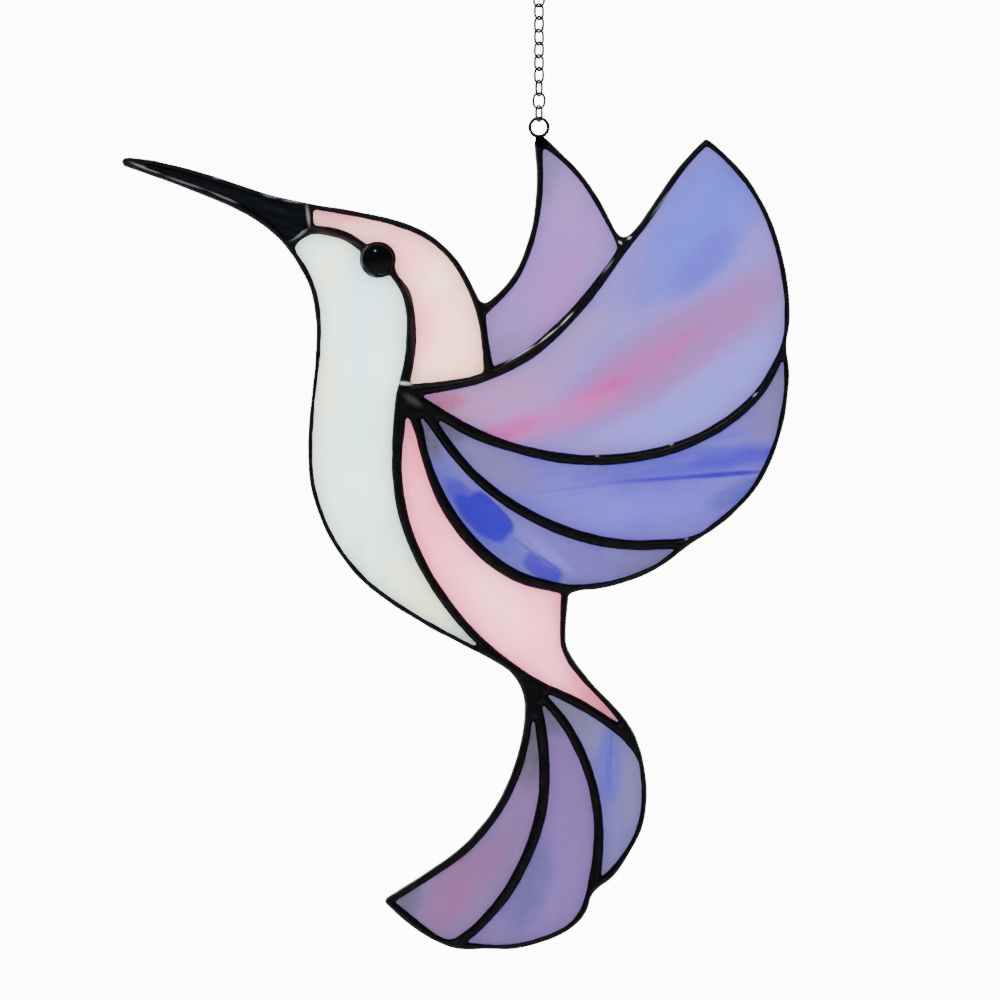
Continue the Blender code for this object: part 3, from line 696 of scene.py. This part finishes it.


# Colours

# Painted highlights on the black solder: glints, grey sheen and brown reflections laid into its colour
# at listed places. Each is the colour, the middle and the reach along and across in squares, the turn in
# degrees from level, and how strong it is.
# Colours of the painted light on the solder: a grey highlight, a white glint and a brown reflection.
HIGHLIGHT_GREY = colour(134, 134, 138)
GLINT_WHITE = colour(196, 198, 202)
REFLECTION_BROWN = colour(64, 44, 46)
PAINTED_HIGHLIGHTS = (
    (GLINT_WHITE, (404.5, 383.5), (11, 3), -6, 0.95),
    (HIGHLIGHT_GREY, (412, 400), (16, 6), -35, 0.12),
    (HIGHLIGHT_GREY, (308.3, 216), (15, 3), -83, 0.85),
    (HIGHLIGHT_GREY, (299, 235.5), (14, 3), 33, 0.8),
    (HIGHLIGHT_GREY, (146, 168.5), (22, 2.2), -20, 0.85),
    (HIGHLIGHT_GREY, (185, 183), (30, 2.0), -19, 0.6),
    (HIGHLIGHT_GREY, (222, 196.5), (24, 2.2), -24, 0.75),
    (HIGHLIGHT_GREY, (217, 178.5), (6, 1.8), -15, 0.7),
    (HIGHLIGHT_GREY, (270, 196.5), (12, 2.2), -14, 0.5),
    (HIGHLIGHT_GREY, (292, 201.5), (14, 2.2), -10, 0.6),
    (GLINT_WHITE, (620, 243), (3.5, 2), -40, 0.8),
    (GLINT_WHITE, (629, 238.5), (3.5, 2), 30, 0.8),
    (HIGHLIGHT_GREY, (661, 203), (24, 1.8), 54, 0.6),
    (GLINT_WHITE, (521, 354), (24, 1.4), 31, 0.8),
    (GLINT_WHITE, (548, 336), (18, 1.4), 39, 0.8),
    (GLINT_WHITE, (566, 320), (14, 1.4), 46, 0.8),
    (HIGHLIGHT_GREY, (608, 267), (12, 1.6), 52, 0.6),
    (HIGHLIGHT_GREY, (365.5, 252), (9, 3.4), 62, 0.5),
    (HIGHLIGHT_GREY, (362.3, 264), (11, 2.4), 96, 0.4),
    (HIGHLIGHT_GREY, (371, 274.5), (8, 2.0), -32, 0.25),
    (GLINT_WHITE, (597, 456), (3, 1.2), 0, 0.5),
    (GLINT_WHITE, (671, 444.5), (3.5, 1.3), 20, 0.55),
    (GLINT_WHITE, (754.5, 395), (4.5, 1.4), 42, 0.55),
    (GLINT_WHITE, (686, 539), (3, 1.3), 20, 0.4),
    (HIGHLIGHT_GREY, (507, 675), (18, 1.8), -55, 0.4),
    (REFLECTION_BROWN, (338, 238), (36, 5), -20, 0.6),
    (REFLECTION_BROWN, (408, 292), (30, 4), -66, 0.6),
    (REFLECTION_BROWN, (413, 335), (40, 3.5), -88, 0.4),
)

# The breast's milky whites.
MILK = colour(230, 238, 228)
PEARL = colour(210, 224, 222)
ICE = colour(185, 226, 242)
SEA_FOAM = colour(202, 240, 234)
STRAW = colour(234, 232, 192)
CREAM = colour(236, 232, 208)

# The pinks of the crown and the back.
SHELL = colour(248, 223, 208)
IVORY = colour(248, 243, 212)
PEACH = colour(248, 196, 200)
BLUSH = colour(248, 192, 208)
PINK = colour(248, 171, 194)
CANDY = colour(248, 162, 185)
SALMON = colour(244, 160, 174)
DUSTY_PINK = colour(228, 145, 162)
PINK_SPECK = colour(194, 134, 150)

# The wings' lilacs, mauves and roses.
LILAC = colour(168, 136, 196)
DEEP_LILAC = colour(159, 131, 190)
ORCHID = colour(176, 124, 194)
ASH_LILAC = colour(143, 133, 170)
WISTERIA = colour(161, 137, 204)
MAUVE = colour(184, 140, 180)
HEATHER = colour(166, 143, 182)
LAVENDER = colour(163, 129, 184)
SHADED_LILAC = colour(133, 122, 166)
PLUM_PINK = colour(166, 116, 173)
ROSE = colour(178, 104, 165)
PALE_ROSE = colour(192, 116, 174)
BRIGHT_ROSE = colour(202, 90, 163)
DEEP_ROSE = colour(192, 80, 149)
DUSKY_ROSE = colour(180, 105, 136)

# The wings' blues.
PERIWINKLE = colour(145, 134, 206)
PALE_SKY = colour(144, 146, 222)
SKY = colour(114, 122, 212)
BRIGHT_SKY = colour(100, 116, 222)
BLUEBELL = colour(122, 116, 202)
DEEP_BLUEBELL = colour(110, 100, 200)
VIOLET_BLUE = colour(131, 119, 201)
DEEP_VIOLET_BLUE = colour(117, 107, 194)
HYACINTH = colour(126, 118, 217)
CORNFLOWER = colour(94, 83, 193)
STEEL_BLUE = colour(91, 89, 175)
ULTRAMARINE = colour(80, 48, 195)
INK_BLUE = colour(74, 42, 181)
COBALT = colour(58, 13, 178)
# Painted shade: a dull grey laid over the panes where they run narrow between the seams.
TIP_SHADE_GREY = colour(107, 100, 117)

# The lower feather's and the tail's duller blues and purples.
DUSK_BLUE = colour(130, 121, 191)
DEEP_DUSK_BLUE = colour(118, 112, 179)
HAZE_BLUE = colour(103, 102, 186)
PALE_HYACINTH = colour(143, 124, 216)
SHADOW_BLUE = colour(121, 113, 157)
GRAPE = colour(143, 116, 166)
DEEP_GRAPE = colour(135, 113, 160)
DUSKY_GRAPE = colour(113, 105, 132)
TAIL_ROSE = colour(148, 104, 145)
VIOLET = colour(138, 112, 172)
DEEP_VIOLET = colour(130, 108, 167)
DIM_VIOLET = colour(110, 100, 156)
DIM_BLUE = colour(132, 124, 175)
DEEP_DIM_BLUE = colour(124, 118, 175)
ASH_BLUE = colour(127, 124, 145)
ASH_PURPLE = colour(139, 126, 166)

# Finishes of the panes, with painted shade where a pane runs narrow between the seams. A streak is its
# colour, its middle and its reach along and across in squares, its turn in degrees from level, and how
# strong it is. After these, where they aren't the usual ones, come how soft its edge is, how broken it
# is, and whether it is square. Specks are their colour, how many cells of them there are to the
# centimetre, and their size in a cell. Softness is how gently the pale and the deep colour run into each
# other, and lets_through the share that glows with the light from behind.
PANE_LOOKS = {
    "breast_pane": dict(
        pale=MILK, deep=PEARL, grain_turn=82, lets_through=0.8, softness=0.7,
        streaks=(
            (ICE, (358, 330), (120, 26), 84, 0.55),
            (SEA_FOAM, (356, 440), (110, 22), 88, 0.5),
            (STRAW, (420, 592), (60, 26), -50, 0.6),
            (CREAM, (322, 420), (110, 12), 84, 0.45),
            (CREAM, (332, 268), (40, 16), 60, 0.5),
        ),
    ),
    "crown_pane": dict(
        pale=SHELL, deep=PEACH, grain_turn=60, lets_through=0.7, softness=0.5,
        streaks=(
            (CANDY, (336, 214), (36, 12), -16, 0.85),
            (PINK, (428, 318), (50, 16), 86, 0.6),
            (IVORY, (440, 275), (50, 18), 60, 0.5),
        ),
        specks=(PINK_SPECK, 5.0, 0.14),
    ),
    "back_pane": dict(
        pale=BLUSH, deep=PINK, grain_turn=-60, lets_through=0.7, softness=0.6,
        streaks=(
            (SALMON, (414, 450), (50, 12), 86, 0.7),
            (CANDY, (432, 520), (60, 14), 76, 0.4),
            (DUSTY_PINK, (592, 696), (50, 14), -44, 0.8),
            (SHELL, (500, 600), (60, 24), -50, 0.5),
        ),
        specks=(PINK_SPECK, 4.5, 0.13),
    ),
    "rear_wing_pane": dict(
        pale=LILAC, deep=DEEP_LILAC, grain_turn=62, lets_through=0.5, softness=0.6,
        streaks=(
            (ASH_LILAC, (549, 170), (46, 18), 80, 0.9),
            (ORCHID, (558, 284), (66, 24), 62, 0.75),
            (ASH_LILAC, (502, 346), (34, 18), 30, 0.7),
            (PERIWINKLE, (602, 262), (40, 14), 54, 0.4),
        ),
    ),
    "upper_feather_pane": dict(
        pale=WISTERIA, deep=PERIWINKLE, grain_turn=38, lets_through=0.5, softness=0.55,
        streaks=(
            (MAUVE, (484, 402), (110, 40), 12, 0.9),
            (HEATHER, (562, 352), (90, 28), 40, 0.7),
            (BLUEBELL, (672, 262), (92, 42), 44, 0.85, 0.55),
            (SKY, (708, 216), (112, 58), 60, 0.95, 0.45, 0.15),
            (BRIGHT_SKY, (716, 206), (60, 22), 62, 0.5, 0.6, 0.4),
            (DEEP_BLUEBELL, (704, 262), (60, 24), 48, 0.7, 0.6, 0.3),
            (SHADED_LILAC, (742, 152), (38, 22), 60, 0.85),
            (LAVENDER, (750, 300), (66, 34), 52, 0.8),
            (PALE_SKY, (712, 392), (122, 32), 36, 0.9),
            (PALE_SKY, (650, 426), (80, 20), 14, 0.7),
            (PLUM_PINK, (660, 357), (174, 42), 34, 0.95, 0.5, 0.2),
            (ROSE, (628, 374), (96, 22), 30, 0.75, 0.7, 0.35),
            (DEEP_ROSE, (600, 392), (52, 13), 25, 0.75, 0.7, 0.45),
            (ROSE, (676, 346), (52, 12), 38, 0.6, 0.7, 0.5),
            (PALE_ROSE, (544, 421), (108, 23), 19, 0.75, 0.6, 0.3),
            (BRIGHT_ROSE, (508, 430), (52, 13), 18, 0.75, 0.6, 0.4),
            (DUSKY_ROSE, (444, 403), (32, 14), 8, 0.9),
        ),
    ),
    "middle_feather_pane": dict(
        pale=VIOLET_BLUE, deep=DEEP_VIOLET_BLUE, grain_turn=4, lets_through=0.5, softness=0.55,
        streaks=(
            (SHADED_LILAC, (490, 458), (76, 26), -32, 0.95),
            # Painted shade, where the pane runs narrow between the seams.
            (TIP_SHADE_GREY, (448, 428), (26, 16), -40, 0.9),
            (SHADED_LILAC, (774, 404), (64, 30), 62, 0.95),
            (CORNFLOWER, (690, 464), (140, 20), 7, 0.9, 0.5),
            (ULTRAMARINE, (730, 460), (64, 11), 10, 0.8, 0.6, 0.3),
            (HYACINTH, (640, 508), (104, 20), 5, 0.65),
            (STEEL_BLUE, (742, 494), (52, 16), 22, 0.85),
            (HAZE_BLUE, (592, 486), (80, 2.6), 7, 0.75, 0.7, 0.25),
            (INK_BLUE, (680, 477.5), (106, 3.4), 4, 0.95, 0.7, 0.15),
            (COBALT, (728, 474), (54, 4.2), 4, 0.95, 0.7, 0.2),
        ),
    ),
    "lower_feather_pane": dict(
        pale=DUSK_BLUE, deep=DEEP_DUSK_BLUE, grain_turn=-32, lets_through=0.5, softness=0.55,
        streaks=(
            (HAZE_BLUE, (446, 478), (40, 18), -60, 0.8),
            # Painted shade, where the pane runs narrow between the seams.
            (TIP_SHADE_GREY, (428, 436), (38, 14), -66, 0.95),
            (SHADOW_BLUE, (652, 560), (60, 20), 10, 0.85),
            (CORNFLOWER, (484, 522), (54, 24), -42, 0.9, 0.4, 0.15),
            (INK_BLUE, (464, 498), (34, 14), -44, 0.8, 0.45, 0.15),
            (COBALT, (476, 517), (36, 13), -47, 0.95, 0.35, 0.1),
            (HAZE_BLUE, (512, 552), (36, 16), -38, 0.9),
            (PALE_HYACINTH, (548, 552), (46, 8), -41, 0.8),
            (COBALT, (489, 517), (31, 17), -43, 1.0, 0.2, 0.08, True),
            (INK_BLUE, (543, 569), (24, 11), -33, 0.95, 0.3, 0.15, True),
            (STEEL_BLUE, (533, 553), (40, 3.0), -38, 0.9, 0.8, 0.1),
        ),
    ),
    "tail_left_pane": dict(
        pale=GRAPE, deep=DEEP_GRAPE, grain_turn=76, lets_through=0.5, softness=0.55,
        streaks=(
            # Painted shade, where the pane runs narrow between the seams.
            (TIP_SHADE_GREY, (532, 752), (52, 16), 84, 0.95),
            (DUSKY_GRAPE, (406, 903), (30, 20), 40, 0.9),
            (TAIL_ROSE, (462, 884), (66, 28), 52, 0.8),
            (TAIL_ROSE, (445, 905), (46, 26), 70, 0.6),
            (TAIL_ROSE, (500, 852), (46, 13), 58, 0.4),
        ),
    ),
    "tail_middle_pane": dict(
        pale=VIOLET, deep=DEEP_VIOLET, grain_turn=86, lets_through=0.5, softness=0.55,
        streaks=(
            # Painted shade, where the pane runs narrow between the seams.
            (TIP_SHADE_GREY, (548, 710), (38, 15), -68, 0.85),
            (DIM_VIOLET, (526, 890), (72, 30), 66, 0.95),
            (DEEP_VIOLET, (582, 900), (50, 12), 84, 0.5),
        ),
    ),
    "tail_right_pane": dict(
        pale=DIM_BLUE, deep=DEEP_DIM_BLUE, grain_turn=86, lets_through=0.5, softness=0.55,
        streaks=(
            (ASH_BLUE, (568, 712), (44, 15), -46, 0.9),
            (HAZE_BLUE, (609, 768), (58, 17), 88, 0.9, 0.5, 0.25),
            (CORNFLOWER, (608, 774), (42, 6), 88, 0.7),
            (STEEL_BLUE, (611, 748), (22, 2.4), 90, 0.6),
            (DEEP_DUSK_BLUE, (606, 830), (50, 12), 84, 0.5),
            (ASH_PURPLE, (634, 780), (64, 13), 84, 0.8),
        ),
    ),
}


# Stage


def backdrop():
    """A pale floor that curves up behind into a bright wall."""
    profile = [(FLOOR_FRONT, FLOOR_HEIGHT), (BEND_START, FLOOR_HEIGHT)]
    for step in range(1, BACKDROP_BEND_STEPS + 1):
        turn = math.pi / 2 * step / BACKDROP_BEND_STEPS
        back = BEND_START + BEND_RADIUS * math.sin(turn)
        profile.append((back, FLOOR_HEIGHT + BEND_RADIUS * (1 - math.cos(turn))))
    profile.append((BEND_START + BEND_RADIUS, WALL_TOP))
    shape = bmesh.new()
    verts = [shape.verts.new((-BACKDROP_HALF, y, z)) for y, z in profile]
    edges = [shape.edges.new(pair) for pair in zip(verts, verts[1:])]
    wide = bmesh.ops.extrude_edge_only(shape, edges=edges)["geom"]
    moved = [piece for piece in wide if isinstance(piece, bmesh.types.BMVert)]
    bmesh.ops.translate(shape, verts=moved, vec=(2 * BACKDROP_HALF, 0.0, 0.0))
    data = bpy.data.meshes.new("backdrop")
    shape.to_mesh(data)
    shape.free()
    data.shade_smooth()
    item = linked("backdrop", data)
    look, shader = new_look("backdrop")
    shader.inputs["Base Color"].default_value = (0.8, 0.8, 0.8, 1.0)
    shader.inputs["Roughness"].default_value = 0.9
    where = add(look, "TexCoord")
    parts = add(look, "SeparateXYZ")
    join(look, where.outputs["Object"], parts.inputs["Vector"])
    glow = ranged(look, parts.outputs["Y"], GLOW_STARTS, GLOW_FULL, 0.0, WALL_GLOW)
    shader.inputs["Emission Color"].default_value = (1.0, 1.0, 1.0, 1.0)
    join(look, glow, shader.inputs["Emission Strength"])
    data.materials.append(look)
    item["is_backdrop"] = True


def softbox(name, spot, aim, size, power):
    data = bpy.data.lights.new(name, "AREA")
    data.shape = "RECTANGLE"
    data.size, data.size_y = size
    data.energy = power
    item = linked(name, data)
    item.location = spot
    item.rotation_euler = (aim - spot).to_track_quat("-Z", "Y").to_euler()


def studio():
    world = bpy.data.worlds.new("studio")
    world.use_nodes = True
    air = world.node_tree.nodes["Background"]
    air.inputs["Color"].default_value = AIR_TINT
    air.inputs["Strength"].default_value = AIR_STRENGTH
    bpy.context.scene.world = world
    middle = place(*PICTURE_MIDDLE)
    for name, (away, size, power) in LAMPS.items():
        softbox(name, middle + Vector(away), middle, size, power)


def camera():
    """Straight on to the bird's front, from far enough for its sides not to show."""
    data = bpy.data.cameras.new("camera")
    data.lens = LENS
    data.sensor_width = SENSOR
    data.clip_end = VIEW_DEPTH
    middle = place(*PICTURE_MIDDLE)
    item = linked("camera", data)
    item.location = (middle.x, -PICTURE_SPAN * LENS / SENSOR, middle.z)
    item.rotation_euler = (math.pi / 2, 0.0, 0.0)
    bpy.context.scene.camera = item


def refinished(name, look):
    """A new material on a piece of the frame, whose shape stays as it is."""
    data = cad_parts[name].data
    data.materials.clear()
    data.materials.append(look)


camera()
studio()
backdrop()

for name, recipe in PANE_LOOKS.items():
    refinished(name, acrylic(name, **recipe))
refinished("beak_pane", beak_acrylic())

solder_seams(black_solder())
eye_cabochon(eye_gloss())
black_wire = wire_metal("black_wire", colour(6, 6, 8), colour(26, 26, 28), 0.25, 0.42)
dark_steel = wire_metal("dark_steel", colour(14, 14, 16), colour(46, 46, 49), 0.3, 0.42)
wire_ring("jump_ring", "wing_ring", RING_WIRE, black_wire, RING_STEPS, RING_JOINT)
wire_ring("hook_loop", "hanging_loop", LOOP_WIRE, dark_steel, LOOP_STEPS, LOOP_JOINT)
for number, link_turn in enumerate(LINK_TURNS, start=1):
    low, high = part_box(f"chain_link_{number:02d}")
    wire_link(f"wire_link_{number:02d}", (low.z + high.z) / 2, link_turn, dark_steel)

low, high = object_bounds()
